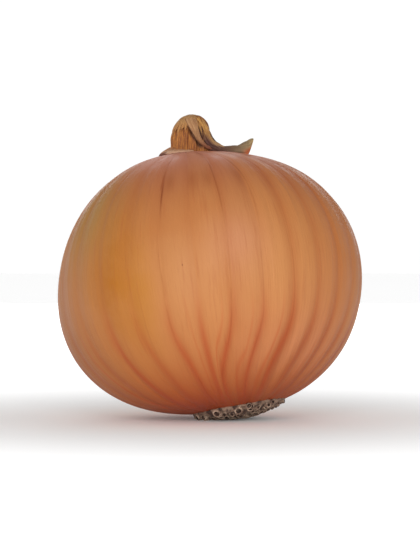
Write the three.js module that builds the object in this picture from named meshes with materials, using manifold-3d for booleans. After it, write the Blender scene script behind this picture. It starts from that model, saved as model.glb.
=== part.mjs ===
// A brown onion, dried and as picked, standing on the low side of its root plate.
// Millimetres, +Z up, the surface it stands on at z = 0, and the viewer looks along +Y.
//
// The bulb's form turns round an axis that leans to the left and a little back, and its middle is
// above the origin. The veins keep an axis of their own that leans farther back, and bend at both
// ends to meet the neck and the root plate. The dry neck is folded over to the right and ends in a
// curled tip on the shoulder. The root plate is a pad of cut-off roots, set a little off the axis.

import * as THREE from "three";
import { mergeVertices } from "three/addons/utils/BufferGeometryUtils.js";
import Module from "manifold-3d";

const wasm = await Module();
wasm.setup();

const degrees = THREE.MathUtils.degToRad;

// How it stands: the tilt of the bulb's own axis, and the height of its middle.
const MIDDLE_HEIGHT = 36.2;
const LEAN_LEFT = 10;
const LEAN_BACK = 3.5;

// The bulb's reach is the distance from its middle to the skin. It is a sum of waves of the angle
// from the neck, and the left side is a little fuller by a second sum.
const REACH = [37.95, -0.6, -2.83, 0.46, -0.3];
const FULLER_LEFT = [0.3, 0.27, 0.12, 0.44];

// The veins, with the tilt of their own axis. Their places are in degrees from the viewer, to the
// right, and they stand closer together on the right.
const VEINS = 29;
const VEINS_LEAN_LEFT = 7.5;
const VEINS_LEAN_BACK = 12;
const VEIN_PHASE = -10.3;
const VEIN_CROWDING = 6.6;
const VEIN_CROWD_AT = 22;
const VEIN_TWIST = 1.3;
const FLUTE_DEPTH = 0.35;
const COLUMNS_PER_PANEL = 3;
const BULB_RINGS = 24;

// The root plate, and the degrees by which its middle is off the bulb's axis.
const PLATE_RADIUS = 12.7;
const PLATE_HEIGHT = 1.5;
const PLATE_DEEPER = 0.12;
const PLATE_DEEPER_IN_FRONT = 0.1;
const PLATE_TAPER = 0.7;
const PLATE_OFF_RIGHT = 3;
const PLATE_OFF_FRONT = 2;
const ROOT_STUBS = 54;
const STUB_RADIUS = [0.9, 1.3];
const STUB_HEIGHT = [0.5, 0.75];
const STUB_SUNK = 1.3;
const STUB_SIDES = 6;

// The neck, upright on the top of the bulb's axis.
const NECK_RADIUS = 5.25;
const NECK_HEIGHT = 10;
const NECK_BEND = 0.9;
const NECK_FOLDS = 13;
const NECK_OFF_RIGHT = 1;
const COLLAR_THICK = 0.6;

const GAP = 0.3; // left between pieces that touch
const SUNK = 2; // how far a piece starts below the skin before the skin is cut away from it

const COLOURS = { bulb: 0xc17f4b, neck: 0xa9794a, root_plate: 0x7a6654 };

const middle = new THREE.Vector3(0, 0, MIDDLE_HEIGHT);

// A turn that tilts an upright axis to the left and back.
const tilt = (left, back) =>
  new THREE.Quaternion().setFromEuler(new THREE.Euler(degrees(-back), degrees(-left), 0, "YXZ"));
const formTilt = tilt(LEAN_LEFT, LEAN_BACK);
const veinTilt = tilt(VEINS_LEAN_LEFT, VEINS_LEAN_BACK);
const plateTilt = tilt(LEAN_LEFT + PLATE_OFF_RIGHT, LEAN_BACK + PLATE_OFF_FRONT);

const up = (turn) => new THREE.Vector3(0, 0, 1).applyQuaternion(turn);
const formAxis = up(formTilt);

function seeded(seed) {
  let state = seed;
  return () => {
    state = (state * 1664525 + 1013904223) % 4294967296;
    return state / 4294967296;
  };
}

const between = ([low, high], share) => low + (high - low) * share;

// Closed surfaces

// A closed geometry from rings of points, each ring with as many points, with a middle point at
// each end. The rings run anticlockwise as seen from the last one.
function closedFromRings(first, rings, last) {
  const count = rings[0].length;
  const points = [first, ...rings.flat(), last];
  const faces = [];
  const at = (ring, column) => 1 + ring * count + (column % count);
  for (let column = 0; column < count; column++) {
    faces.push(0, at(0, column + 1), at(0, column));
    faces.push(points.length - 1, at(rings.length - 1, column), at(rings.length - 1, column + 1));
    for (let ring = 0; ring + 1 < rings.length; ring++) {
      const [a, b] = [at(ring, column), at(ring, column + 1)];
      const [c, d] = [at(ring + 1, column + 1), at(ring + 1, column)];
      faces.push(a, b, c, a, c, d);
    }
  }
  const geometry = new THREE.BufferGeometry().setFromPoints(points);
  geometry.setIndex(faces);
  return geometry;
}

function solidOf(geometry) {
  const bare = geometry.clone();
  bare.deleteAttribute("normal");
  bare.deleteAttribute("uv");
  const merged = mergeVertices(bare, 1e-4);
  return new wasm.Manifold(
    new wasm.Mesh({
      numProp: 3,
      vertProperties: merged.attributes.position.array,
      triVerts: new Uint32Array(merged.index.array),
    }),
  );
}

// The outside of some solids joined, without the hollows shut in between them.
function joined(solids) {
  const whole = solids.reduce((sum, solid) => sum.add(solid));
  return whole.decompose().reduce((a, b) => (a.volume() > b.volume() ? a : b));
}

function meshOf(solid, name, roughness) {
  const { vertProperties, triVerts } = solid.getMesh();
  const geometry = new THREE.BufferGeometry();
  geometry.setAttribute("position", new THREE.BufferAttribute(vertProperties, 3));
  geometry.setIndex(new THREE.BufferAttribute(triVerts, 1));
  geometry.computeVertexNormals();
  const colour = { color: COLOURS[name], roughness, metalness: 0 };
  const mesh = new THREE.Mesh(geometry, new THREE.MeshStandardMaterial(colour));
  mesh.name = name;
  return mesh;
}

// The bulb

// The distance from the middle to the skin, in a direction of length one.
function reach(direction) {
  const polar = direction.angleTo(formAxis);
  const local = direction.clone().applyQuaternion(formTilt.clone().invert());
  const leftness = polar % Math.PI === 0 ? 0 : -local.x / Math.sin(polar);
  const even = REACH.map((size, wave) => size * Math.cos(wave * polar));
  const odd = FULLER_LEFT.map((size, wave) => size * Math.sin((wave + 1) * polar) * leftness);
  return [...even, ...odd].reduce((sum, size) => sum + size);
}

const onSkin = (direction, height) =>
  direction.clone().multiplyScalar(reach(direction) + height).add(middle);

// Where a vein crosses the widest ring, as an angle from the viewer's side.
function veinAzimuth(vein) {
  const even = (360 / VEINS) * vein;
  return degrees(VEIN_PHASE + even + VEIN_CROWDING * Math.cos(degrees(even - VEIN_CROWD_AT)));
}

// The tilt of a ring of vein points: near the ends it turns to the neck or to the root plate.
function ringTilt(polar) {
  const end = Math.cos(polar) > 0 ? formTilt : plateTilt;
  return veinTilt.clone().slerp(end, Math.cos(polar) ** 8);
}

function veinPoint(polar, azimuth, height) {
  const turn = azimuth + degrees(VEIN_TWIST) * Math.cos(polar);
  const direction = new THREE.Vector3(
    Math.sin(polar) * Math.sin(turn),
    -Math.sin(polar) * Math.cos(turn),
    Math.cos(polar),
  );
  return onSkin(direction.applyQuaternion(ringTilt(polar)), height);
}

// The skin is drawn in along every vein, so the panels between them stand a little proud.
function bulbSolid(grown = 0) {
  const rings = [];
  for (let ring = BULB_RINGS - 1; ring > 0; ring--) {
    const polar = (Math.PI * ring) / BULB_RINGS;
    const points = [];
    for (let vein = 0; vein < VEINS; vein++) {
      const ends = [veinAzimuth(vein), veinAzimuth(vein + 1)];
      for (let column = 0; column < COLUMNS_PER_PANEL; column++) {
        const share = column / COLUMNS_PER_PANEL;
        const groove = FLUTE_DEPTH * Math.sin(polar) * (1 - Math.sin(Math.PI * share));
        points.push(veinPoint(polar, between(ends, share), grown - groove));
      }
    }
    rings.push(points);
  }
  return solidOf(closedFromRings(veinPoint(Math.PI, 0, grown), rings, veinPoint(0, 0, grown)));
}

// A point over the skin, at an angle from a pole on it and a turn round that pole.
function aroundPole(pole, angle, turn, height) {
  const across = new THREE.Vector3(1, 0, 0).projectOnPlane(pole).normalize();
  const away = new THREE.Vector3().crossVectors(pole, across);
  const direction = pole
    .clone()
    .multiplyScalar(Math.cos(angle))
    .addScaledVector(across, Math.sin(angle) * Math.cos(turn))
    .addScaledVector(away, Math.sin(angle) * Math.sin(turn));
  return onSkin(direction, height);
}

// The root plate

const platePole = up(plateTilt).negate();
const plateAngle = PLATE_RADIUS / reach(platePole);

// The pad is thick almost to its edge, lumpy there, and thinner towards the right.
const padThins = (share, turn) => 1 - PLATE_TAPER * share ** 2 * Math.max(Math.cos(turn), 0);

function padHeight(share, turn) {
  const lumps = 1 - 0.14 * Math.cos(5 * turn) * share;
  return PLATE_HEIGHT * Math.sqrt(1 - share ** 6) * lumps * padThins(share, turn);
}

// It reaches farther to the front and back than to the sides, and farthest to the front.
function padEdge(turn) {
  const uneven = 0.03 * Math.sin(3 * turn) + 0.02 * Math.sin(7 * turn);
  const front = PLATE_DEEPER_IN_FRONT * Math.max(-Math.sin(turn), 0) ** 2;
  return plateAngle * (0.94 + PLATE_DEEPER * Math.sin(turn) ** 2 + front + uneven);
}

function padSolid() {
  const SIDES = 32;
  const SHARES = [1, 0.97, 0.9, 0.78, 0.55, 0.3];
  const ringAt = (share, heightAt) =>
    Array.from({ length: SIDES }, (_, side) => {
      const turn = (2 * Math.PI * side) / SIDES;
      return aroundPole(platePole, padEdge(turn) * share, turn, heightAt(turn));
    });
  const rings = [
    ringAt(1, () => -SUNK),
    ...SHARES.map((share) => ringAt(share, (turn) => padHeight(share, turn))),
  ];
  const bottom = aroundPole(platePole, 0, 0, -SUNK);
  const top = aroundPole(platePole, 0, 0, PLATE_HEIGHT);
  return solidOf(closedFromRings(bottom, rings, top));
}

// A root cut short: a stub with a hollow end. The nearer the pad's edge, the more it leans out.
function stubSolid(place, random) {
  const share = 0.97 * Math.sqrt((place + 0.5) / ROOT_STUBS);
  const turn = place * Math.PI * (3 - Math.sqrt(5)) + 0.5 * (random() - 0.5);
  const lean = share ** 3;
  const radius = between(STUB_RADIUS, random()) * (0.5 + 0.5 * padThins(share, turn));
  const rise = (between(STUB_HEIGHT, random()) - 0.35 * lean) * padThins(share, turn);
  const edge = padEdge(turn) * share;
  const footHeight = padHeight(0.6 * share, turn) - STUB_SUNK;
  const foot = aroundPole(platePole, edge * (0.98 - 0.14 * lean), turn, footHeight);
  const endHeight = padHeight(0.92 * share, turn) + rise;
  const end = aroundPole(platePole, edge * (0.98 + 0.03 * lean), turn, endHeight);
  const along = end.clone().sub(foot);
  const rings = [sectionAt(foot, along, 0.9 * radius), sectionAt(end, along, radius)];
  const hollow = foot.clone().addScaledVector(along, 0.85);
  return solidOf(closedFromRings(foot, rings, hollow));
}

function sectionAt(centre, along, radius) {
  const normal = along.clone().normalize();
  const side = new THREE.Vector3(0, 1, 0).projectOnPlane(normal).normalize();
  const other = new THREE.Vector3().crossVectors(normal, side);
  return Array.from({ length: STUB_SIDES }, (_, corner) => {
    const turn = (2 * Math.PI * corner) / STUB_SIDES;
    return centre
      .clone()
      .addScaledVector(side, radius * Math.cos(turn))
      .addScaledVector(other, radius * Math.sin(turn));
  });
}

function rootPlateSolid(skin) {
  const random = seeded(5);
  const stubs = Array.from({ length: ROOT_STUBS }, (_, place) => stubSolid(place, random));
  const below = new THREE.BoxGeometry(200, 200, 40).translate(0, 0, -20);
  return joined([padSolid(), ...stubs]).subtract(skin).subtract(solidOf(below));
}

// The neck. Its places are in millimetres from the middle of its foot.

const neckFoot = onSkin(formAxis, 0).add(new THREE.Vector3(NECK_OFF_RIGHT, 0, 0));

function stumpPlace(share, turn, radius, level) {
  const right = radius * Math.cos(turn) + NECK_BEND * share ** 4;
  return new THREE.Vector3(right, radius * Math.sin(turn), level).add(neckFoot);
}

// The stump: a dome of upright pleats, which bends to the right near its top.
function stumpSolid() {
  const SIDES = NECK_FOLDS * 4;
  const SHARES = [0, 0.3, 0.5, 0.68, 0.82, 0.93];
  const ringAt = (share, level) =>
    Array.from({ length: SIDES }, (_, side) => {
      const turn = (2 * Math.PI * side) / SIDES;
      const pleat = 1 + 0.06 * Math.cos(NECK_FOLDS * turn + 1.5 * Math.sin(turn));
      return stumpPlace(share, turn, NECK_RADIUS * Math.sqrt(1 - share ** 3.1) * pleat, level);
    });
  const rings = [ringAt(0, -SUNK), ...SHARES.map((share) => ringAt(share, share * NECK_HEIGHT))];
  const foot = new THREE.Vector3(0, 0, -SUNK).add(neckFoot);
  return solidOf(closedFromRings(foot, rings, stumpPlace(1, 0, 0, NECK_HEIGHT)));
}

// The collar: the torn edge of the skin, which lies on the shoulder round the stump's foot.
function collarSolid() {
  const SIDES = 36;
  const edge = (turn) =>
    degrees(9.6 - 2.1 * Math.cos(turn) + 0.5 * Math.sin(3 * turn) + 0.3 * Math.cos(8 * turn));
  const ringAt = (share, height) =>
    Array.from({ length: SIDES }, (_, side) => {
      const turn = (2 * Math.PI * side) / SIDES;
      return aroundPole(formAxis, edge(turn) * share, turn, height);
    });
  const rings = [
    ringAt(1, -SUNK),
    ringAt(1, COLLAR_THICK),
    ringAt(0.86, COLLAR_THICK + 0.1),
    ringAt(0.7, COLLAR_THICK + 0.5),
  ];
  const bottom = aroundPole(formAxis, 0, 0, -SUNK);
  return solidOf(closedFromRings(bottom, rings, aroundPole(formAxis, 0, 0, 1.5)));
}

// A strand of dry leaf: a flattened tube along a path. A stop is a place on the path, half the
// width and half the thickness there, and the degrees its flat has rolled from facing the hub.
const stop = (at, half, thick, roll = 0) => ({ at, half, thick, roll });

function strandSolid(stops, hub, sides = 8, steps = 12) {
  const path = new THREE.CatmullRomCurve3(stops.map(({ at }) => new THREE.Vector3(...at)));
  const rings = [];
  for (let step = 0; step <= steps; step++) {
    const share = step / steps;
    const centre = path.getPoint(share);
    const tangent = path.getTangent(share);
    const out = centre.clone().sub(hub).projectOnPlane(tangent).normalize();
    out.applyAxisAngle(tangent, degrees(valueAt(stops, "roll", share)));
    const across = new THREE.Vector3().crossVectors(out, tangent);
    const ring = [];
    for (let side = 0; side < sides; side++) {
      const turn = (2 * Math.PI * side) / sides;
      const wide = valueAt(stops, "half", share) * Math.cos(turn);
      const thick = valueAt(stops, "thick", share) * Math.sin(turn);
      ring.push(centre.clone().addScaledVector(across, wide).addScaledVector(out, thick).add(neckFoot));
    }
    rings.push(ring);
  }
  const [first, last] = [path.getPoint(0).add(neckFoot), path.getPoint(1).add(neckFoot)];
  return solidOf(closedFromRings(first, rings, last));
}

// The strands come over the stump and run down together to the right.
const HUB = new THREE.Vector3(0, 0, 3);
const STRANDS = [
  [
    stop([-0.2, -1.8, 9.3], 1.4, 0.6),
    stop([0.5, -3.6, 7.6], 1.5, 0.8),
    stop([1.3, -4.3, 5.6], 1.2, 0.85),
    stop([2.1, -4.4, 3.9], 0.95, 0.8),
    stop([3.2, -4.1, 2.5], 0.75, 0.65),
    stop([4.5, -3.4, 1.4], 0.6, 0.5),
    stop([6.2, -2.7, 1.0], 0.4, 0.4),
  ],
  [
    stop([1.5, -0.8, 9.4], 1.3, 0.6),
    stop([3.0, -1.9, 7.8], 1.6, 0.85),
    stop([3.9, -2.4, 5.9], 1.6, 0.95),
    stop([4.4, -2.6, 3.9], 1.45, 0.9),
    stop([5.5, -2.5, 2.5], 1.15, 0.75),
    stop([7.2, -2.3, 1.5], 0.8, 0.6),
    stop([9.4, -2.1, 0.95], 0.45, 0.4),
  ],
  [
    stop([1.9, 2.0, 9.0], 1.3, 0.6),
    stop([3.4, 2.3, 7.2], 1.5, 0.9),
    stop([4.3, 2.2, 5.2], 1.5, 0.9),
    stop([5.1, 1.5, 3.6], 1.3, 0.8),
    stop([6.4, 0.0, 2.1], 1.0, 0.7),
    stop([8.3, -1.4, 1.2], 0.7, 0.5),
  ],
  [
    stop([0.6, 3.2, 8.4], 1.2, 0.6),
    stop([1.7, 4.3, 6.4], 1.4, 0.8),
    stop([2.9, 4.3, 4.2], 1.4, 0.9),
    stop([4.4, 3.2, 2.4], 1.2, 0.8),
    stop([6.2, 1.2, 1.3], 0.9, 0.6),
    stop([8.0, -0.8, 0.9], 0.7, 0.5),
  ],
];

// The tail they make: a thin roll, then a cupped blade on edge. A ring has its middle, half its
// width, half its thickness, the degrees it stands up from lying flat, and the degrees by which
// its upper edge slants to the right.
const tailRing = (at, half, thick, stand, slant) => ({ at, half, thick, stand, slant });
const TAIL_CUP = 0.3;
const TAIL = [
  tailRing([4.2, -2.2, 1.7], 1.2, 1.0, 0, 0),
  tailRing([6.2, -2.5, 1.15], 1.0, 0.9, 10, 0),
  tailRing([8.0, -2.3, 0.8], 0.9, 0.75, 40, 0),
  tailRing([9.6, -2.1, 0.65], 0.85, 0.5, 75, 0),
  tailRing([11.2, -1.9, 0.65], 1.0, 0.42, 88, 0),
  tailRing([12.8, -1.8, 0.65], 1.3, 0.4, 90, 0),
  tailRing([14.2, -1.7, 0.85], 1.8, 0.38, 90, 4),
  tailRing([15.2, -1.7, 1.15], 2.1, 0.35, 90, 10),
  tailRing([15.9, -1.8, 1.7], 1.75, 0.32, 90, 16),
  tailRing([16.4, -1.9, 2.6], 0.8, 0.3, 90, 18),
];

function valueAt(stops, name, share) {
  const place = share * (stops.length - 1);
  const index = Math.min(Math.floor(place), stops.length - 2);
  return between([stops[index][name], stops[index + 1][name]], place - index);
}

function tailSolid(sides = 12, steps = 24) {
  const path = new THREE.CatmullRomCurve3(TAIL.map(({ at }) => new THREE.Vector3(...at)));
  const rings = Array.from({ length: steps + 1 }, (_, step) => {
    const share = step / steps;
    const centre = path.getPoint(share).add(neckFoot);
    const [half, thick, stand, slant] = ["half", "thick", "stand", "slant"].map((name) =>
      valueAt(TAIL, name, share),
    );
    const [sine, cosine] = [Math.sin(degrees(stand)), Math.cos(degrees(stand))];
    const rise = new THREE.Vector3(Math.sin(degrees(slant)), 0, Math.cos(degrees(slant)));
    const edge = rise.multiplyScalar(sine).add(new THREE.Vector3(0, cosine, 0));
    const face = new THREE.Vector3(0, -sine, cosine);
    return Array.from({ length: sides }, (_, side) => {
      const turn = (2 * Math.PI * side) / sides;
      const deep = thick * Math.sin(turn) + TAIL_CUP * half * sine * Math.cos(turn) ** 2;
      return centre
        .clone()
        .addScaledVector(edge, half * Math.cos(turn))
        .addScaledVector(face, deep);
    });
  });
  const middleOf = (ring) =>
    ring.reduce((sum, point) => sum.add(point), new THREE.Vector3()).divideScalar(sides);
  return solidOf(closedFromRings(middleOf(rings[0]), rings, middleOf(rings[steps])));
}

// The cap's torn fringe: pointed shreds over the pleats, on the side away from the fold.
function shredSolids() {
  const SHREDS = 9;
  return Array.from({ length: SHREDS }, (_, shred) => {
    const turn = degrees(80 + (188 / (SHREDS - 1)) * shred);
    const low = 5.8 + 0.8 * Math.sin(2.4 * shred);
    const at = (level) => {
      const share = level / NECK_HEIGHT;
      const radius = NECK_RADIUS * Math.sqrt(1 - share ** 3.1);
      return stumpPlace(share, turn, radius, level).sub(neckFoot).toArray();
    };
    const stops = [
      stop(at(9.9), 0.9, 0.3),
      stop(at(9.1), 1.2, 0.4),
      stop(at(8.0), 1.2, 0.4),
      stop(at((low + 8) / 2), 0.9, 0.4),
      stop(at(low), 0.35, 0.35),
    ];
    return strandSolid(stops, HUB, 6, 5);
  });
}

function neckSolid(skin) {
  const strands = STRANDS.map((stops) => strandSolid(stops, HUB));
  const whole = joined([stumpSolid(), collarSolid(), tailSolid(), ...strands, ...shredSolids()]);
  return whole.subtract(skin);
}

// The whole onion

const skin = bulbSolid(GAP);
const onion = new THREE.Group();
onion.add(meshOf(bulbSolid(), "bulb", 0.5));
onion.add(meshOf(neckSolid(skin), "neck", 0.75));
onion.add(meshOf(rootPlateSolid(skin), "root_plate", 0.9));

export default onion;
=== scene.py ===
import math
import random

import bpy
import numpy as np
from mathutils import Matrix, Vector


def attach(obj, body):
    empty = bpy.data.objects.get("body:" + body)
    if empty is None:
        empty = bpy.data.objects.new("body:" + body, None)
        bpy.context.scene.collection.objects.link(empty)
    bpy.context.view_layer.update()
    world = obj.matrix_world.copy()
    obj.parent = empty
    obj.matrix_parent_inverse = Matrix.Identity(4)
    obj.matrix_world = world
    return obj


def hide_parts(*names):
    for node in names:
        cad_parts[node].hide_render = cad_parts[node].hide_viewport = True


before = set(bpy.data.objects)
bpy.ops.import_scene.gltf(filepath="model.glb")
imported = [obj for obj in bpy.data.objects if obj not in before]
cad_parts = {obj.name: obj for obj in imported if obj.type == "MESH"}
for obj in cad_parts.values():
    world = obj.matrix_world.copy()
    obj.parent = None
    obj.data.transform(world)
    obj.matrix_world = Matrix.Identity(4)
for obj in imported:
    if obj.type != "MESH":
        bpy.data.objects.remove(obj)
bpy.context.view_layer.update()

# The bulb's dry skin is a satin, papery scale leaf that wraps the bulb from neck to root plate.
# It is drawn in along every vein, so the panels between stand a little proud. The form turns
# round one axis, and the veins round another that leans farther back. Sizes are in millimetres.
MM = 0.001
MIDDLE = np.array([0, 0, 36.2])
LEAN_LEFT = 10
LEAN_BACK = 3.5
REACH = [37.95, -0.6, -2.83, 0.46, -0.3]
FULLER_LEFT = [0.3, 0.27, 0.12, 0.44]
VEINS = 29
VEINS_LEAN_LEFT = 7.5
VEINS_LEAN_BACK = 12
VEIN_PHASE = -10.3
VEIN_CROWDING = 6.6
VEIN_CROWD_AT = 22
VEIN_TWIST = 1.3
FLUTE_DEPTH = 0.3
PANEL_WIDTH = 8.7
PLATE_OFF_RIGHT = 3
PLATE_OFF_FRONT = 2
ENDS_HOLD = 8
GATHERED_TO = 0.3
PANEL_COLUMNS = 12
SKIN_ROWS = 128
FOLD_REACHES = 5
LINE_SWAY = 0.25
RIPPLES = 24
ANY_PHASE = 6.3


def tilt(left, back):
    """The turn that tilts an upright axis to the left and back, in degrees."""
    to_left = Matrix.Rotation(math.radians(-left), 3, "Y")
    to_back = Matrix.Rotation(math.radians(-back), 3, "X")
    return (to_left @ to_back).to_quaternion()


form_tilt = tilt(LEAN_LEFT, LEAN_BACK)
vein_tilt = tilt(VEINS_LEAN_LEFT, VEINS_LEAN_BACK)
plate_tilt = tilt(LEAN_LEFT + PLATE_OFF_RIGHT, LEAN_BACK + PLATE_OFF_FRONT)


def turned(directions, turn):
    return directions @ np.array(turn.to_matrix()).T


def reach(directions):
    """The distance from the bulb's middle to its skin."""
    local = turned(directions, form_tilt.inverted())
    polar = np.arccos(local[..., 2].clip(-1, 1))
    leftness = -local[..., 0] / np.maximum(np.sin(polar), 1e-6)
    even = sum(size * np.cos(wave * polar) for wave, size in enumerate(REACH))
    odd = sum(size * np.sin((wave + 1) * polar) for wave, size in enumerate(FULLER_LEFT))
    return even + odd * leftness


def on_skin(directions, height):
    """The place at a height over the skin, in a direction from the bulb's middle."""
    return MIDDLE + directions * (reach(directions) + height)[..., None]


def ripples(azimuth, polar, waves, size, seed):
    """Low folds that run from end to end and drift a little on the way."""
    draw = random.Random(seed)
    total = 0 * azimuth
    for _ in range(RIPPLES):
        count = draw.randint(*waves)
        phase = draw.uniform(0, ANY_PHASE)
        drift = draw.uniform(-1.5, 1.5)
        swell = 1 + np.sin(draw.uniform(2, 5) * polar + draw.uniform(0, ANY_PHASE))
        total = total + np.sin(count * azimuth + phase + drift * polar) * swell
    return total * size / RIPPLES


def skin_points(polar, vein):
    """Where the skin lies at an angle from the neck and a vein number, counted to the right from
    the front. Towards its ends, the veins' axis gives way to the form's and the root plate's."""
    even = 2 * math.pi / VEINS * vein
    crowding = VEIN_CROWDING * np.cos(even - math.radians(VEIN_CROWD_AT))
    twist = VEIN_TWIST * np.cos(polar)
    azimuth = even + np.radians(VEIN_PHASE + crowding + twist)
    ring = np.sin(polar)
    along = [ring * np.sin(azimuth), -ring * np.cos(azimuth), np.cos(polar)]
    directions = np.stack(along, -1)
    for level in np.unique(polar.round(5)):
        end = form_tilt if level < math.pi / 2 else plate_tilt
        here = abs(polar - level) < 1e-4
        ring_tilt = vein_tilt.slerp(end, math.cos(level) ** ENDS_HOLD)
        directions[here] = turned(directions[here], ring_tilt)
    groove = FLUTE_DEPTH * ring * (1 - np.sin(math.pi * (vein % 1)))
    fine = ripples(even, polar, waves=(30, 160), size=0.22, seed=3) * ring
    broad = ripples(even, polar, waves=(2, 9), size=0.5, seed=5) * ring
    near_neck = np.exp(-((polar / GATHERED_TO) ** 2))
    gathers = ripples(even, polar, waves=(34, 60), size=1.3, seed=8) * ring * near_neck
    return on_skin(directions, fine + broad + gathers - groove)


bpy.ops.object.select_all(action="DESELECT")
columns = VEINS * PANEL_COLUMNS
bpy.ops.mesh.primitive_uv_sphere_add(segments=columns, ring_count=SKIN_ROWS, radius=1)
skin = bpy.context.object
skin.name = "skin"


def vertices_of(piece):
    places = np.zeros(3 * len(piece.data.vertices))
    piece.data.vertices.foreach_get("co", places)
    return places.reshape(-1, 3)


def place_vertices(piece, millimetres):
    piece.data.vertices.foreach_set("co", (millimetres * MM).ravel())
    piece.data.update()


sphere = vertices_of(skin)
polar = np.arccos(sphere[:, 2].clip(-1, 1))
vein = VEINS / 2 * np.arctan2(sphere[:, 1], sphere[:, 0]) / math.pi
place_vertices(skin, skin_points(polar, vein))
bpy.ops.object.shade_smooth()


def srgb(red, green, blue):
    """A colour as the eye sees it, on a scale to 255, made ready for a shader."""
    shares = [level / 255 for level in (red, green, blue)]
    return [*(s / 12.92 if s <= 0.04045 else ((s + 0.055) / 1.055) ** 2.4 for s in shares), 1]


class Value:
    """A number or colour in a finish, so that shader maths reads as plain sums."""

    def __init__(self, finish, socket):
        self.finish = finish
        self.socket = socket

    def math(self, operation, *others):
        numbers = dict(enumerate([self, *others]))
        return self.finish.node("ShaderNodeMath", {"operation": operation}, numbers)

    def __add__(self, other):
        return self.math("ADD", other)

    def __sub__(self, other):
        return self.math("SUBTRACT", other)

    def __rsub__(self, other):
        return self * -1 + other

    def __mul__(self, other):
        return self.math("MULTIPLY", other)

    def __truediv__(self, other):
        return self.math("DIVIDE", other)

    def __pow__(self, other):
        return self.math("POWER", other)

    def __abs__(self):
        return self.math("ABSOLUTE")

    __radd__ = __add__
    __rmul__ = __mul__


class Finish:
    """A material on the Principled shader. What is the same all over is set on its own sockets."""

    def __init__(self, name, same_all_over):
        self.material = bpy.data.materials.new(name)
        self.material.use_nodes = True
        self.tree = self.material.node_tree
        self.shader = self.tree.nodes["Principled BSDF"]
        for socket, value in same_all_over.items():
            self.shader.inputs[socket].default_value = value

    def node(self, kind, settings, values, output=0):
        made = self.tree.nodes.new(kind)
        for name, setting in settings.items():
            if name == "stops":
                self.set_stops(made.color_ramp, setting)
            else:
                setattr(made, name, setting)
        for key, value in values.items():
            if isinstance(value, Value):
                self.tree.links.new(value.socket, made.inputs[key])
            else:
                made.inputs[key].default_value = value
        return Value(self, made.outputs[output])

    def set_stops(self, ramp, stops):
        ramp.interpolation = "B_SPLINE"
        while len(ramp.elements) < len(stops):
            ramp.elements.new(1)
        for element, (position, colour) in zip(ramp.elements, stops):
            element.position = position
            element.color = colour

    def feed(self, socket, value):
        self.tree.links.new(value.socket, self.shader.inputs[socket])

    def uv(self):
        """The shares of the way round a piece and along it."""
        place = self.node("ShaderNodeUVMap", {}, {})
        return [self.node("ShaderNodeSeparateXYZ", {}, {0: place}, axis) for axis in (0, 1)]

    def circle(self, around):
        """A point that goes round once as a share goes from 0 to 1, so that no seam shows."""
        return [(around * 2 * math.pi).math(wave) for wave in ("COSINE", "SINE")]

    def spot(self):
        """The place on the piece, in metres."""
        return self.node("ShaderNodeTexCoord", {}, {}, "Object")

    def vector(self, x, y, z):
        return self.node("ShaderNodeCombineXYZ", {}, {0: x, 1: y, 2: z})

    def noise(self, place, scale, detail=2, roughness=0.5):
        values = {"Vector": place, "Scale": scale, "Detail": detail, "Roughness": roughness}
        return self.node("ShaderNodeTexNoise", {}, values)

    def grain(self, circle, along, fine, short, scale, detail, roughness):
        """Noise drawn out along a piece. fine is how close it lies round it, short along it."""
        place = self.vector(circle[0] * fine, circle[1] * fine, along * short)
        return self.noise(place, scale, detail, roughness)

    def draw(self, number):
        """A number drawn at random for each whole number."""
        return self.node("ShaderNodeTexWhiteNoise", {"noise_dimensions": "1D"}, {"W": number})

    def bell(self, value, wide):
        """1 where the value is 0, and next to nothing at twice the width."""
        return ((value / wide) ** 2 * -1).math("EXPONENT")

    def step(self, value, low, high, least=0, most=1):
        """Goes smoothly from least to most as the value goes from low to high."""
        settings = {"interpolation_type": "SMOOTHSTEP"}
        values = {0: value, 1: low, 2: high, 3: least, 4: most}
        return self.node("ShaderNodeMapRange", settings, values)

    def ramp(self, value, stops):
        return self.node("ShaderNodeValToRGB", {"stops": stops}, {0: value})

    def mix(self, share, one, other):
        settings = {"data_type": "RGBA"}
        return self.node("ShaderNodeMix", settings, {0: share, 6: one, 7: other}, 2)

    def bump(self, height, millimetres):
        values = {"Height": height, "Distance": millimetres * MM, "Strength": 1}
        return self.node("ShaderNodeBump", {}, values)

    def put_on(self, piece):
        piece.data.materials.clear()
        piece.data.materials.append(self.material)


papery = Finish("dry skin", {"IOR": 1.3, "Specular IOR Level": 0.3})
around, height = papery.uv()
vein_number = (around - 0.5) * VEINS
down = 1 - height
ring = (down * math.pi).math("SINE")
circle = papery.circle(around)
streaks = papery.grain(circle, down, fine=14, short=3, scale=3.2, detail=4, roughness=0.6)
sway = papery.grain(circle, down, fine=5, short=2, scale=2.5, detail=1, roughness=0.4)
hairs = papery.grain(circle, down, fine=60, short=4, scale=3, detail=3, roughness=0.6)
patchy = papery.noise(papery.spot(), scale=38, detail=3)
clouds = papery.noise(papery.spot(), scale=90, detail=4, roughness=0.6)
lower = papery.step(down, 0.54, 0.72)
upper = papery.step(down, 0.42, 0.3)


def vein_lines():
    """The number that the drawn lines follow. Low on the front, they gather towards one fold."""
    right_of_fold = papery.step(vein_number, 0.1, 0.4, -0.13, 0.6)
    left_of_fold = papery.step(vein_number, 0, -0.7, 0, -0.3)
    near_fold = papery.bell(vein_number, FOLD_REACHES) * papery.step(down, 0.62, 0.79)
    return vein_number + (right_of_fold + left_of_fold) * near_fold


line_number = vein_lines()


def veins_drawn(seed, width, shift=0.0, least=0.0):
    """Lines along the veins, as wide as given in millimetres, each with its own strength. They
    sway a little on the way."""
    place = line_number + 0.5 + shift + (sway - 0.5) * LINE_SWAY
    number = place.math("FLOOR")
    off = abs(place - number - 0.5) * ring * PANEL_WIDTH
    return papery.bell(off, width) * papery.step(papery.draw(number + seed), 0.1, 0.9, least, 1)


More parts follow.
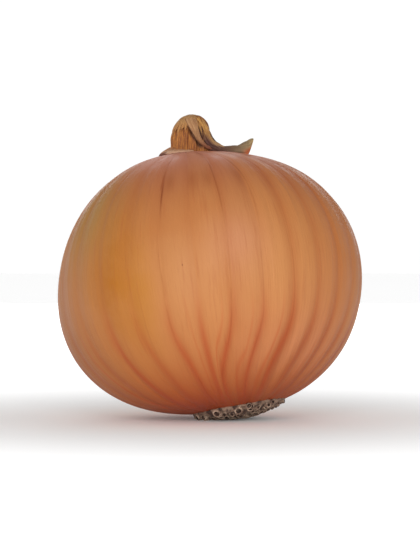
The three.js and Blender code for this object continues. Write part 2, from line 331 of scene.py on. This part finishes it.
def blot(vein_place, down_place, wide, tall):
    """A soft round patch at a vein number and a share of the way down."""
    across = (vein_number - vein_place) / wide
    along = (down - down_place) / tall
    return ((across**2 + along**2) * -1).math("EXPONENT")


# The skin's colour from the neck down. The two pink stops at the top are painted sheen, the bright
# room seen at a slant. The stops at the bottom darken to near black: partly the skin's own deep
# red, partly painted shade.
ground = papery.ramp(down, [
    (0.03, srgb(208, 150, 132)),
    (0.14, srgb(204, 140, 120)),
    (0.25, srgb(166, 95, 58)),
    (0.40, srgb(178, 116, 68)),
    (0.56, srgb(194, 134, 84)),
    (0.70, srgb(188, 120, 68)),
    (0.80, srgb(182, 94, 48)),
    (0.88, srgb(158, 46, 12)),
    (0.96, srgb(70, 5, 0)),
])
panel_tone = papery.draw(vein_number.math("FLOOR"))
toned = papery.mix(papery.step(panel_tone, 0, 1, 0, 0.25), ground, srgb(196, 130, 70))
toned = papery.mix(papery.step(patchy, 0.5, 0.75, 0, 0.3), toned, srgb(176, 104, 50))

# Patches, a nick and smudges: the vein number, the share of the way down, the width in veins and
# the height of each, then its strength and its colour. The wide dark patches at the left and right
# sides are painted shade.
mottled = papery.step(clouds, 0.25, 0.7, 0.65, 1)
for place, strength, colour in (
    ((-2.5, 0.5, 0.95, 0.15), mottled, srgb(170, 100, 18)),
    ((-1.8, 0.57, 0.6, 0.1), mottled * 0.7, srgb(184, 120, 44)),
    ((-3.9, 0.35, 1.3, 0.13), 0.8, srgb(158, 122, 62)),
    ((1.3, 0.48, 0.9, 0.06), 0.4, srgb(198, 136, 106)),
    ((-0.35, 0.519, 0.013, 0.002), 1, srgb(90, 50, 34)),
    # painted shade at the left side
    ((-5.3, 0.59, 2.2, 0.2), 0.6, srgb(150, 92, 56)),
    # painted shade at the right side
    ((7, 0.46, 2.2, 0.22), 0.5, srgb(148, 84, 38)),
    ((5, 0.53, 1.5, 0.13), 0.35, srgb(176, 96, 34)),
    ((3.9, 0.71, 3, 0.09), 0.55, srgb(206, 134, 96)),
    ((-0.7, 0.31, 0.22, 0.035), 0.4, srgb(140, 72, 34)),
    ((0.15, 0.31, 0.22, 0.035), 0.4, srgb(140, 72, 34)),
    ((0.7, 0.31, 0.22, 0.035), 0.4, srgb(140, 72, 34)),
    ((1.9, 0.31, 0.22, 0.035), 0.4, srgb(140, 72, 34)),
    ((-0.93, 0.34, 0.035, 0.05), 0.8, srgb(112, 46, 20)),
):
    toned = papery.mix(blot(*place) * strength, toned, colour)

toned = papery.mix(papery.step(streaks, 0.5, 0.8, 0, 0.3), toned, srgb(160, 82, 46))
# Wide bands along the veins: partly the veins' own red-brown, partly painted shade of the grooves
# between the panels.
vein_band_and_groove_shade = veins_drawn(seed=443, width=1.9, least=0.3)
toned = papery.mix(vein_band_and_groove_shade * (lower * 0.4 + upper * 0.25 + 0.38), toned, srgb(160, 82, 40))
lower_line = veins_drawn(seed=2940, width=0.9, least=0.3)
toned = papery.mix(lower_line * lower * 0.62, toned, srgb(176, 74, 40))
between_line = veins_drawn(seed=29, width=0.4, shift=0.38)
toned = papery.mix(between_line * lower * 0.5, toned, srgb(180, 74, 34))
hairline = veins_drawn(seed=702, width=0.22, least=0.1)
come_and_go = papery.grain(circle, down, fine=6, short=5, scale=2, detail=2, roughness=0.5)
shown = papery.step(come_and_go, 0.4, 0.62)
toned = papery.mix(hairline * shown * (upper * 0.4 + 0.3), toned, srgb(140, 66, 28))
toned = papery.mix(papery.step(hairs, 0.55, 0.8, 0, 0.12), toned, srgb(140, 78, 46))
papery.feed("Base Color", toned)
papery.feed("Roughness", papery.step(clouds, 0.3, 0.7, 0.42, 0.52))
relief = hairs * 0.5 + streaks + hairline * 0.5
papery.feed("Normal", papery.bump(relief, 0.1))
papery.put_on(skin)
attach(skin, "root")
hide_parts("bulb")

# The neck's pleats are the dried bases of the leaves, drawn together above the bulb into a
# round stump. Their tops are folded in under the cap. In front one deep fold runs down between
# two pleats.
NECK_RADIUS = 5.05
NECK_HEIGHT = 10
NECK_BEND = 0.9
NECK_DOME = 3.1
NECK_BURIED = 0.2
NECK_OFF_RIGHT = 1
PLEATS = 13
PLEAT_DEPTH = 0.055
PLEAT_UNEVEN = 1.5
FOLD_HOLLOW = 0.7
FOLD_WIDTH = 0.22
FOLD_TOP = 6
FOLD_AT = 270
FOLD_SLANT = 8
SHADE_UNDER_STRANDS_AT = 315
form_axis = turned(np.array([0.0, 0.0, 1.0]), form_tilt)
neck_foot = on_skin(form_axis, np.array(0.0)) + np.array([NECK_OFF_RIGHT, 0, 0])


def rolled_sheet(name, columns, rows, place):
    """A flat leaf rolled round until its long edges meet, then closed at its ends. place gives
    the point for a share of the way round and a share of the way along."""
    bpy.ops.object.select_all(action="DESELECT")
    bpy.ops.mesh.primitive_grid_add(x_subdivisions=columns, y_subdivisions=rows, size=2)
    piece = bpy.context.object
    piece.name = name
    flat = (vertices_of(piece) + 1) / 2
    place_vertices(piece, place(flat[:, 0], flat[:, 1]))
    bpy.ops.object.mode_set(mode="EDIT")
    bpy.ops.mesh.select_all(action="SELECT")
    bpy.ops.mesh.remove_doubles(threshold=1e-6)
    bpy.ops.mesh.fill_holes(sides=0)
    bpy.ops.mesh.normals_make_consistent(inside=False)
    bpy.ops.object.mode_set(mode="OBJECT")
    bpy.ops.object.shade_smooth()
    return piece


def stump_place(turn, level, clear=0):
    """A place on the stump for a share of its height, or a distance clear of it."""
    narrows = np.sqrt(np.maximum(1 - np.maximum(level, 0) ** NECK_DOME, 0))
    radius = NECK_RADIUS * narrows + clear
    right = radius * np.cos(turn) + NECK_BEND * np.maximum(level, 0) ** 4
    return np.stack(np.broadcast_arrays(right, radius * np.sin(turn), level * NECK_HEIGHT), -1)


def pleat_points(round_share, level_share):
    turn = 2 * math.pi * round_share
    level = level_share**0.8 * (1 + NECK_BURIED) - NECK_BURIED
    folds = PLEAT_DEPTH * np.cos(PLEATS * turn + PLEAT_UNEVEN * np.sin(turn))
    folds = folds + ripples(turn, level * 2, waves=(24, 60), size=0.16, seed=4)
    beside = turn - np.radians(FOLD_AT + FOLD_SLANT * (FOLD_TOP - NECK_HEIGHT * level))
    hollow = np.exp(-((beside / FOLD_WIDTH) ** 2)) * np.sin(math.pi * np.maximum(level, 0))
    fades = np.sqrt(np.maximum(1 - np.maximum(level, 0) ** 6, 0))
    clear = (NECK_RADIUS * folds - FOLD_HOLLOW * hollow) * fades
    return neck_foot + stump_place(turn, level, clear)


pleats = rolled_sheet("neck_pleats", 180, 40, pleat_points)


def dry_leaf(name, light, dark, fine=3, side_shade=0, end=None, crease_shade=0):
    """Dry leaf: light and dark fibres along it, painted shade on its narrow sides, a colour that
    it may turn to at its end, and painted shade along a crease at one edge, each shade as strong
    as its argument."""
    leaf = Finish(name, {"IOR": 1.45})
    around, along = leaf.uv()
    circle = leaf.circle(around)
    fibre = leaf.grain(circle, along, fine=fine, short=2, scale=2, detail=4, roughness=0.65)
    blotch = leaf.noise(leaf.spot(), scale=420, detail=3, roughness=0.6)
    tone = leaf.mix(leaf.step(fibre, 0.35, 0.68), dark, light)
    tone = leaf.mix(leaf.step(blotch, 0.5, 0.75, 0, 0.4), tone, dark)
    if end:
        tone = leaf.mix(leaf.step(along, 0.4, 0.9, 0, 0.8), tone, end)
    side = 1 - abs(circle[1])
    # Painted shade on the leaf's narrow sides, where the rolls meet.
    shaded = leaf.step(side, 0.4, 0.95, 0, side_shade) * leaf.step(along, 0.1, 0.5, 0.35, 1)
    tone = leaf.mix(shaded, tone, srgb(78, 48, 42))
    # Painted shade down one edge, where a crease lies beside the next strand.
    if crease_shade:
        in_crease = leaf.step(circle[0], 0.0, -0.8) * leaf.step(along, 0.3, 0.6)
        tone = leaf.mix(in_crease * crease_shade, tone, srgb(74, 40, 42))
    leaf.tone = tone
    leaf.feed("Base Color", tone)
    leaf.feed("Roughness", leaf.step(fibre, 0.3, 0.7, 0.6, 0.78))
    leaf.feed("Normal", leaf.bump(fibre, 0.25))
    return leaf


pleated = dry_leaf("pleats", srgb(198, 130, 58), srgb(116, 58, 26), fine=16)
degrees_round = pleated.uv()[0] * 360
height = pleated.node("ShaderNodeSeparateXYZ", {}, {0: pleated.spot()}, 2) / MM - neck_foot[2]


def painted_shade_band(beside, wide, top, foot):
    """A band of painted shade, soft at its edges: each gives where it is none and where it is
    full.
    """
    return pleated.step(beside, *wide) * pleated.step(height, *top) * pleated.step(height, *foot)


beside_fold = abs(degrees_round - FOLD_AT - (FOLD_TOP - height) * FOLD_SLANT)
beside_strands = abs(degrees_round - SHADE_UNDER_STRANDS_AT)
# Painted shade: in the deep fold in front, and under the strands where they come down over the
# pleats.
fold_shade = painted_shade_band(beside_fold, (18, 6), (7.6, 5), (0.8, 1.8))
shade_under_strands = painted_shade_band(beside_strands, (28, 20), (8.6, 7.6), (2.4, 3.6))
dark = (fold_shade + shade_under_strands).math("MINIMUM", 1) * 0.85
tone = pleated.mix(pleated.step(height, 4.5, 7, 0, 0.55), pleated.tone, srgb(118, 62, 26))
pleated.feed("Base Color", pleated.mix(dark, tone, srgb(58, 24, 12)))
pleated.put_on(pleats)
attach(pleats, "root")
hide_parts("neck")

# The collar is the torn edge of the skin, which lies on the shoulder round the stump's foot.
# Its rim is pale where the skin has split off. It is thin in front and stands higher on the
# left. Each of its rows, from the buried edge inwards, has a share of its reach and a height.
COLLAR_REACH = 9.5
COLLAR_FARTHER_LEFT = 2
COLLAR_ROWS = [0, 0.15, 0.3, 0.42, 0.6, 0.85, 1]
COLLAR_SHARES = [0.9, 0.98, 1.01, 0.98, 0.88, 0.7, 0.55]
COLLAR_HEIGHTS = [-0.6, 0, 0.45, 0.9, 1.5, 2.2, 2.8]
COLLAR_IN_FRONT = 0.26
COLLAR_HIGHER_LEFT = 0.39


def around_pole(pole, angle, turn, height):
    """A point over the skin, at an angle from a pole on it and a turn round that pole."""
    across = np.array([1.0, 0, 0]) - pole[0] * pole
    across = across / np.linalg.norm(across)
    away = np.cross(pole, across)
    out = np.cos(turn)[:, None] * across + np.sin(turn)[:, None] * away
    return on_skin(np.cos(angle)[:, None] * pole + np.sin(angle)[:, None] * out, height)


def collar_points(round_share, way):
    turn = 2 * math.pi * round_share
    torn = 0.5 * np.sin(3 * turn) + 0.3 * np.cos(8 * turn)
    torn = torn + ripples(turn, way, waves=(9, 40), size=0.9, seed=2)
    edge = np.radians(COLLAR_REACH - COLLAR_FARTHER_LEFT * np.cos(turn) + torn)
    share = np.interp(way, COLLAR_ROWS, COLLAR_SHARES)
    height = np.interp(way, COLLAR_ROWS, COLLAR_HEIGHTS)
    leftness = (1 - np.cos(turn)) / 2
    stands = COLLAR_IN_FRONT + COLLAR_HIGHER_LEFT * leftness**2
    height = np.where(height > 0, height * stands, height)
    height = height + ripples(turn, way, waves=(12, 50), size=0.2, seed=6)
    return around_pole(form_axis, edge * share, turn, height)


collar = rolled_sheet("neck_collar", 180, 26, collar_points)
torn_skin = Finish("collar", {"IOR": 1.4})
around, along = torn_skin.uv()
# Colour from the buried edge inwards: the dark red stop is painted shadow under the rim's edge,
# and the pale stop after it is the torn rim.
tone = torn_skin.ramp(along, [
    (0.1, srgb(96, 38, 24)),
    (0.2, srgb(206, 170, 144)),
    (0.34, srgb(196, 156, 126)),
    (0.6, srgb(184, 140, 106)),
    (0.9, srgb(160, 106, 66)),
])
# Painted shade under the left end, where the collar lifts off the shoulder.
shade_under_left_end = torn_skin.step(abs(around - 0.51), 0.1, 0.06) * torn_skin.step(along, 0.6, 0.45)
tone = torn_skin.mix(shade_under_left_end * 0.85, tone, srgb(84, 26, 22))
thread_way = torn_skin.vector(around * 70, along * 1.5, 0)
threads = torn_skin.noise(thread_way, scale=2, detail=4, roughness=0.6)
tone = torn_skin.mix(torn_skin.step(threads, 0.45, 0.7, 0, 0.4), tone, srgb(160, 108, 80))
torn_skin.feed("Base Color", tone)
torn_skin.feed("Roughness", torn_skin.step(threads, 0.3, 0.7, 0.55, 0.7))
torn_skin.feed("Normal", torn_skin.bump(threads, 0.2))
torn_skin.put_on(collar)
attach(collar, "root")

# The folded strands are dry leaves that come over the stump and run down to the right. Each is
# a flattened roll, its flat side turned away from the hub. A stop has its place from the middle
# of the neck's foot, half the width and half the thickness.
HUB = (0, 0, 3)
FRONT_STRAND = [
    ((-0.2, -1.8, 9.3), 1.4, 0.6),
    ((0.5, -3.6, 7.6), 1.5, 0.8),
    ((1.2, -4.3, 5.6), 1.05, 0.85),
    ((1.9, -4.4, 3.9), 0.8, 0.8),
    ((3.0, -4.1, 2.5), 0.6, 0.6),
    ((4.4, -3.4, 1.4), 0.5, 0.45),
    ((6.2, -2.7, 1.0), 0.4, 0.4),
]
RIGHT_STRAND = [
    ((1.5, -0.8, 9.4), 1.3, 0.6),
    ((2.8, -1.9, 7.8), 1.6, 0.85),
    ((3.75, -2.4, 5.9), 1.6, 0.95),
    ((4.4, -2.6, 3.9), 1.45, 0.9),
    ((5.5, -2.5, 2.5), 1.15, 0.75),
    ((7.2, -2.3, 1.5), 0.8, 0.6),
    ((9.4, -2.1, 0.95), 0.45, 0.4),
]
BACK_RIGHT_STRAND = [
    ((1.9, 2.0, 9.0), 1.3, 0.6),
    ((3.4, 2.3, 7.2), 1.5, 0.9),
    ((4.3, 2.2, 5.2), 1.5, 0.9),
    ((5.1, 1.5, 3.6), 1.3, 0.8),
    ((6.4, 0.0, 2.1), 1.0, 0.7),
    ((8.3, -1.4, 1.2), 0.7, 0.5),
]
BACK_STRAND = [
    ((0.6, 3.2, 8.4), 1.2, 0.6),
    ((1.7, 4.3, 6.4), 1.4, 0.8),
    ((2.9, 4.3, 4.2), 1.4, 0.9),
    ((4.4, 3.2, 2.4), 1.2, 0.8),
    ((6.2, 1.2, 1.3), 0.9, 0.6),
    ((8.0, -0.8, 0.9), 0.7, 0.5),
]


def along_stops(values, share):
    """Values met smoothly one after another, at a share of the way along them."""
    place = share * (len(values) - 1)
    here = np.clip(place.astype(int), 0, len(values) - 2)
    t = (place - here)[:, None]
    row = np.array(values, float).reshape(len(values), -1)
    before, after = row[np.maximum(here - 1, 0)], row[np.minimum(here + 2, len(values) - 1)]
    start, end = row[here], row[here + 1]
    square = 2 * before - 5 * start + 4 * end - after
    cube = 3 * start - before - 3 * end + after
    return start + ((end - before) * t + (square * t**2 + cube * t**3)) / 2


def round_ends(way):
    """The share of its size that a roll has at each place along it, less at its ends."""
    return np.sqrt(np.clip(np.minimum(way, 1 - way) * 14, 0.02, 1))


def strand(name, stops, seed, columns=28, rows=44):
    """A flattened roll of leaf along its stops."""
    places = [at for at, *_ in stops]
    sizes = [size for _, *size in stops]

    def points(round_share, way):
        turn = 2 * math.pi * round_share
        centre = along_stops(places, way)
        ahead = along_stops(places, np.minimum(way + 1e-3, 1))
        behind = along_stops(places, np.maximum(way - 1e-3, 0))
        heading = ahead - behind
        heading = heading / np.linalg.norm(heading, axis=1, keepdims=True)
        half, thick = along_stops(sizes, way).T
        out = centre - np.array(HUB)
        out = out - (out * heading).sum(1, keepdims=True) * heading
        out = out / np.linalg.norm(out, axis=1, keepdims=True)
        across = np.cross(out, heading)
        uneven = 1 + ripples(turn, way * 3, waves=(4, 13), size=0.5, seed=seed)
        size = round_ends(way) * uneven
        wide, deep = half * size * np.cos(turn), thick * size * np.sin(turn)
        return neck_foot + centre + across * wide[:, None] + out * deep[:, None]

    return rolled_sheet(name, columns, rows, points)


def joined(name, pieces):
    bpy.ops.object.select_all(action="DESELECT")
    for piece in pieces:
        piece.select_set(True)
    bpy.context.view_layer.objects.active = pieces[0]
    bpy.ops.object.join()
    pieces[0].name = name
    return pieces[0]


pale = strand("neck_front_strand", FRONT_STRAND, seed=1)
pale_leaf = dry_leaf(
    "pale strand", srgb(188, 144, 100), srgb(146, 98, 60), side_shade=0.8, end=srgb(128, 64, 46)
)
pale_leaf.put_on(pale)
golden = joined("neck_strands", [
    strand("right", RIGHT_STRAND, seed=2),
    strand("back_right", BACK_RIGHT_STRAND, seed=3),
    strand("back", BACK_STRAND, seed=4),
])
golden_leaf = dry_leaf(
    "golden strand", srgb(200, 150, 82), srgb(156, 104, 48), side_shade=0.4,
    end=srgb(160, 124, 92), crease_shade=0.9,
)
golden_leaf.put_on(golden)
for strands in (pale, golden):
    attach(strands, "root")

# The tail is the strands' common end, a thin roll that lies along the shoulder and ends in a
# cupped blade, on edge, with its hollow to the viewer. A ring has its middle, half its width,
# half its thickness, the degrees it stands up, and its upper edge's slant.
TAIL_CUP = 0.3
TAIL = [
    ((4.2, -2.2, 1.7), 1.2, 1.0, 0, 0),
    ((6.2, -2.5, 1.15), 1.0, 0.9, 10, 0),
    ((8.0, -2.3, 0.8), 0.9, 0.75, 40, 0),
    ((9.6, -2.1, 0.65), 0.85, 0.5, 75, 0),
    ((11.2, -1.9, 0.65), 1.0, 0.42, 88, 0),
    ((12.8, -1.8, 0.65), 1.3, 0.4, 90, 0),
    ((14.2, -1.7, 0.85), 1.8, 0.38, 90, 4),
    ((15.2, -1.7, 1.15), 2.1, 0.35, 90, 10),
    ((16.0, -1.8, 1.8), 1.8, 0.32, 90, 14),
    ((16.5, -1.9, 2.75), 0.8, 0.3, 90, 16),
]


def tail_points(round_share, way):
    turn = 2 * math.pi * round_share
    half, thick, stand, slant = along_stops([sizes for _, *sizes in TAIL], way).T
    stand = np.radians(stand)
    slant = np.radians(slant)
    upright = np.sin(stand)
    edge = np.stack([np.sin(slant) * upright, np.cos(stand), np.cos(slant) * upright], -1)
    face = np.stack([0 * stand, -upright, np.cos(stand)], -1)
    size = round_ends(way) * (1 + ripples(turn, way * 4, waves=(4, 13), size=0.7, seed=6))
    wide = half * size * np.cos(turn)
    cup = TAIL_CUP * half * size * upright * np.cos(turn) ** 2
    deep = thick * size * np.sin(turn) + cup
    centre = neck_foot + along_stops([at for at, *_ in TAIL], way)
    return centre + edge * wide[:, None] + face * deep[:, None]


tail = rolled_sheet("neck_tail", 40, 70, tail_points)
withered = Finish("tail", {"IOR": 1.45})
around, along = withered.uv()
circle = withered.circle(around)
fibre = withered.grain(circle, along, fine=5, short=3, scale=2.4, detail=4, roughness=0.65)
tone = withered.ramp(along, [
    (0.05, srgb(84, 48, 40)),
    (0.3, srgb(100, 66, 54)),
    (0.5, srgb(130, 104, 78)),
    (0.75, srgb(146, 126, 92)),
    (0.97, srgb(184, 156, 104)),
])
near_tip = withered.step(along, 0.56, 0.78)
low_side = withered.step(circle[0], 0.3, -0.5)
tone = withered.mix(near_tip * low_side * 0.85, tone, srgb(184, 84, 38))
tone = withered.mix(withered.step(along, 0.88, 0.99, 0, 0.6), tone, srgb(190, 128, 62))
tone = withered.mix(withered.step(fibre, 0.46, 0.7, 0, 0.6), tone, srgb(76, 54, 42))
withered.feed("Base Color", tone)
withered.feed("Roughness", withered.step(fibre, 0.3, 0.7, 0.6, 0.78))
withered.feed("Normal", withered.bump(fibre, 0.25))
withered.put_on(tail)
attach(tail, "root")

# The cap is the outermost dry leaf, torn off at the fold. Its shreds hang over the pleats in
# points of uneven length, from the back round the left to the front. A shred's row has its
# height, how clear of the stump it lies, half its width and half its thickness.
CAP_SHREDS = 15
CAP_FROM = 76
CAP_TURN = 192
SHRED_ENDS = (3.4, 6)
SHRED_SEEDS = 20
cap_pieces = []
draw = random.Random(12)
for shred in range(CAP_SHREDS):
    turn = math.radians(CAP_FROM + CAP_TURN / (CAP_SHREDS - 1) * shred + draw.uniform(-3, 3))
    low = draw.uniform(*SHRED_ENDS)
    stops = []
    for height, clear, half, thick in (
        (9.9, -0.1, 0.8, 0.3),
        (9.1, -0.02, 0.95, 0.36),
        (8.2, 0, 0.8, 0.36),
        ((low + 8) / 2, 0.1, 0.46, 0.32),
        (low, 0.12, 0.1, 0.14),
    ):
        place = stump_place(turn + draw.uniform(-0.04, 0.04), height / NECK_HEIGHT, clear)
        stops.append((place, half, thick))
    cap_pieces.append(strand("shred", stops, SHRED_SEEDS + shred, columns=14, rows=22))
cap = joined("neck_cap", cap_pieces)
cap_leaf = dry_leaf(
    "cap", srgb(190, 144, 90), srgb(152, 106, 60), side_shade=0.6, end=srgb(186, 126, 68)
)
cap_leaf.put_on(cap)
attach(cap, "root")

# The root plate is the bulb's hard base, a lumpy pad of old root bases. It sits a little off
# the bulb's axis and thins out to the right.
PLATE_RADIUS = 12.7
PLATE_HEIGHT = 1.5
PLATE_DEEPER = 0.12
PLATE_DEEPER_IN_FRONT = 0.1
PLATE_TAPER = 0.7
PAD_LUMPS = 0.14
PAD_BURIED = 1.5
PAD_RIM = 0.1
plate_pole = -turned(np.array([0.0, 0.0, 1.0]), plate_tilt)
plate_angle = PLATE_RADIUS / reach(plate_pole)


def pad_thins(share, turn):
    return 1 - PLATE_TAPER * share**2 * np.maximum(np.cos(turn), 0)


def pad_height(share, turn):
    lumps = 1 - PAD_LUMPS * np.cos(5 * turn) * share
    rounded = np.sqrt(np.maximum(1 - share**6, 0))
    return PLATE_HEIGHT * rounded * lumps * pad_thins(share, turn)


def pad_edge(turn):
    uneven = 0.03 * np.sin(3 * turn) + 0.02 * np.sin(7 * turn)
    front = PLATE_DEEPER_IN_FRONT * np.maximum(-np.sin(turn), 0) ** 2
    return plate_angle * (0.94 + PLATE_DEEPER * np.sin(turn) ** 2 + front + uneven)


def pad_points(round_share, way):
    turn = 2 * math.pi * round_share
    share = np.interp(way, [0, PAD_RIM, 0.25, 1], [1, 1, 0.97, 0])
    on_top = way >= PAD_RIM
    height = np.where(on_top, pad_height(share, turn), -PAD_BURIED * (1 - way / PAD_RIM))
    rough = ripples(turn, share * 9, waves=(5, 30), size=0.9, seed=9) * np.sqrt(share)
    points = around_pole(plate_pole, pad_edge(turn) * share, turn, height + rough * on_top)
    points[:, 2] = np.maximum(points[:, 2], 0)
    return points


pad = rolled_sheet("root_pad", 140, 50, pad_points)


def dry_root(name, light, dark):
    root = Finish(name, {"IOR": 1.45})
    lumps = root.noise(root.spot(), scale=620, detail=4, roughness=0.6)
    grain = root.noise(root.spot(), scale=4200, detail=3, roughness=0.6)
    tone = root.mix(root.step(lumps, 0.38, 0.62), dark, light)
    tone = root.mix(root.step(grain, 0.5, 0.8, 0, 0.5), tone, dark)
    root.feed("Base Color", tone)
    root.feed("Roughness", root.step(grain, 0.3, 0.7, 0.8, 0.95))
    root.feed("Normal", root.bump(lumps + grain * 0.4, 0.3))
    return root


dry_root("root pad", srgb(158, 132, 112), srgb(74, 54, 46)).put_on(pad)
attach(pad, "root")
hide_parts("root_plate")

# The root stubs are the roots, cut or broken short: tubes of dry bark with a dark hollow where
# the core has shrunk. One is modelled and then copied. Near the pad's edge they point outwards.
ROOT_STUBS = 110
STUB_FACETS = 12
HOLLOW_RADIUS = 0.55
STUB_BURIED = 1.3
GOLDEN_ANGLE = math.pi * (3 - math.sqrt(5))
bpy.ops.object.select_all(action="DESELECT")
bpy.ops.mesh.primitive_cylinder_add(vertices=STUB_FACETS, radius=1, depth=2)
stub = bpy.context.object
bpy.ops.object.mode_set(mode="EDIT")
bpy.ops.mesh.select_mode(type="FACE")
bpy.ops.mesh.select_all(action="DESELECT")
bpy.ops.object.mode_set(mode="OBJECT")
for face in stub.data.polygons:
    face.select = face.normal.z > 0.9
bpy.ops.object.mode_set(mode="EDIT")
bpy.ops.mesh.inset(thickness=0.16, depth=0.1)
bpy.ops.mesh.inset(thickness=0.2, depth=0)
bpy.ops.mesh.inset(thickness=0.12, depth=-0.18)
bpy.ops.mesh.inset(thickness=0.12, depth=-0.5)
bpy.ops.object.mode_set(mode="OBJECT")
bark = dry_root("root bark", srgb(186, 160, 138), srgb(112, 88, 74))
# The hollow takes a dark finish: partly the shrunk core's own colour, partly painted shade in the
# recess.
core = dry_root("root core", srgb(84, 60, 48), srgb(44, 28, 22))
stub.data.materials.append(bark.material)
stub.data.materials.append(core.material)
for face in stub.data.polygons:
    below_lip = 0 < face.center.z < 1.04
    face.material_index = int(below_lip and face.center.xy.length < HOLLOW_RADIUS)
bpy.ops.object.shade_smooth_by_angle(angle=math.radians(50))

draw = random.Random(7)
stubs = []
for place in range(ROOT_STUBS):
    share = np.sqrt((place + 0.5) / ROOT_STUBS)
    turn = np.array([place * GOLDEN_ANGLE + draw.uniform(-0.2, 0.2)])
    lean = share**3
    thins = pad_thins(share, turn)[0]
    radius = draw.uniform(0.6, 1.1) * (1 + 0.15 * lean) * (0.5 + 0.5 * thins)
    away = pad_edge(turn) * share
    foot_height = pad_height(0.6 * share, turn) - STUB_BURIED
    foot = around_pole(plate_pole, away * (0.98 - 0.14 * lean), turn, foot_height)[0]
    rise = (draw.uniform(0.3, 0.65) - 0.5 * lean) * thins
    end_height = pad_height(0.92 * share, turn) + rise
    end = around_pole(plate_pole, away * (0.98 + 0.03 * lean), turn, end_height)[0]
    one = stub.copy()
    one.data = stub.data.copy()
    bpy.context.collection.objects.link(one)
    along = Vector(end - foot)
    aim = along.to_track_quat("Z", "Y").to_matrix().to_4x4()
    other_radius = radius * draw.uniform(0.8, 1)
    size = Matrix.Diagonal((radius * MM, other_radius * MM, along.length / 2 * MM, 1))
    centre = Matrix.Translation(Vector((foot + end) / 2 * MM))
    spin = Matrix.Rotation(draw.uniform(0, ANY_PHASE), 4, "Z")
    one.data.transform(centre @ aim @ spin @ size)
    stubs.append(one)
bpy.data.objects.remove(stub)
roots = joined("root_stubs", stubs)
places = vertices_of(roots)
places[:, 2] = np.maximum(places[:, 2], 0)
place_vertices(roots, places / MM)
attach(roots, "root")

# The table and the light: a plain white floor, soft daylight from all round, a wide soft lamp
# near the viewer, and a weaker one low behind the onion. The camera stands in front and looks
# a little down.
FOCUS = Vector((0.13, 0, 39.9)) * MM
DISTANCE = 0.9
ELEVATION = math.radians(1)
PHOTO_ROWS = 535
PIXEL = 0.264
FRAME_HEIGHT = PHOTO_ROWS * PIXEL * MM
SENSOR = 36
HORIZON_BAND = 0.12
HORIZON_LIGHT = 1.02
ROOM_LIGHT = 0.46
FLOOR_DIM_TO = 0.035
FLOOR_BRIGHT_FROM = 0.2
KEY_WATTS = 7
FILL_WATTS = 2.5

bpy.ops.object.select_all(action="DESELECT")
bpy.ops.mesh.primitive_plane_add(size=4, location=(0, 0, 0))
floor = bpy.context.object
floor.name = "floor"
chalk = Finish("floor", {"Base Color": (0.88, 0.88, 0.88, 1), "Roughness": 0.9})
far = chalk.node("ShaderNodeVectorMath", {"operation": "LENGTH"}, {0: chalk.spot()}, "Value")
# The floor glows, painted light: dim near the onion and bright farther out, so it shows white
# beyond the soft contact shadow.
glow = chalk.step(far, FLOOR_DIM_TO, FLOOR_BRIGHT_FROM, 0.06, 0.5)
chalk.feed("Emission Color", chalk.vector(glow, glow, glow))
chalk.shader.inputs["Emission Strength"].default_value = 1
chalk.put_on(floor)

world = bpy.data.worlds.new("pale room")
bpy.context.scene.world = world
world.use_nodes = True
room = world.node_tree
look = room.nodes.new("ShaderNodeTexCoord")
parts = room.nodes.new("ShaderNodeSeparateXYZ")
fade = room.nodes.new("ShaderNodeMapRange")
sky = (HORIZON_BAND, HORIZON_BAND + 0.3, HORIZON_LIGHT, ROOM_LIGHT)
for socket, value in enumerate(sky, 1):
    fade.inputs[socket].default_value = value
room.links.new(look.outputs["Generated"], parts.inputs[0])
room.links.new(parts.outputs["Z"], fade.inputs[0])
room.links.new(fade.outputs[0], room.nodes["Background"].inputs["Strength"])
room.nodes["Background"].inputs["Color"].default_value = (1, 1, 1, 1)


def soft_lamp(name, place, size, watts):
    lamp = bpy.data.lights.new(name, "AREA")
    lamp.shape = "DISK"
    lamp.size = size
    lamp.energy = watts
    holder = bpy.data.objects.new(name, lamp)
    bpy.context.collection.objects.link(holder)
    holder.location = place
    holder.rotation_euler = (Vector(place) - FOCUS).to_track_quat("Z", "Y").to_euler()


soft_lamp("key", (-0.05, -1.1, 0.35), 0.7, KEY_WATTS)
soft_lamp("fill", (0, 1.0, 0.3), 0.8, FILL_WATTS)

camera_data = bpy.data.cameras.new("camera")
camera = bpy.data.objects.new("camera", camera_data)
bpy.context.collection.objects.link(camera)
backwards = Vector((0, -math.cos(ELEVATION), math.sin(ELEVATION)))
camera.location = FOCUS + backwards * DISTANCE
camera.rotation_euler = backwards.to_track_quat("Z", "Y").to_euler()
camera_data.sensor_width = SENSOR
camera_data.lens = SENSOR * DISTANCE / FRAME_HEIGHT
camera_data.clip_end = 20
bpy.context.scene.camera = camera
bpy.context.scene.view_settings.view_transform = "Standard"
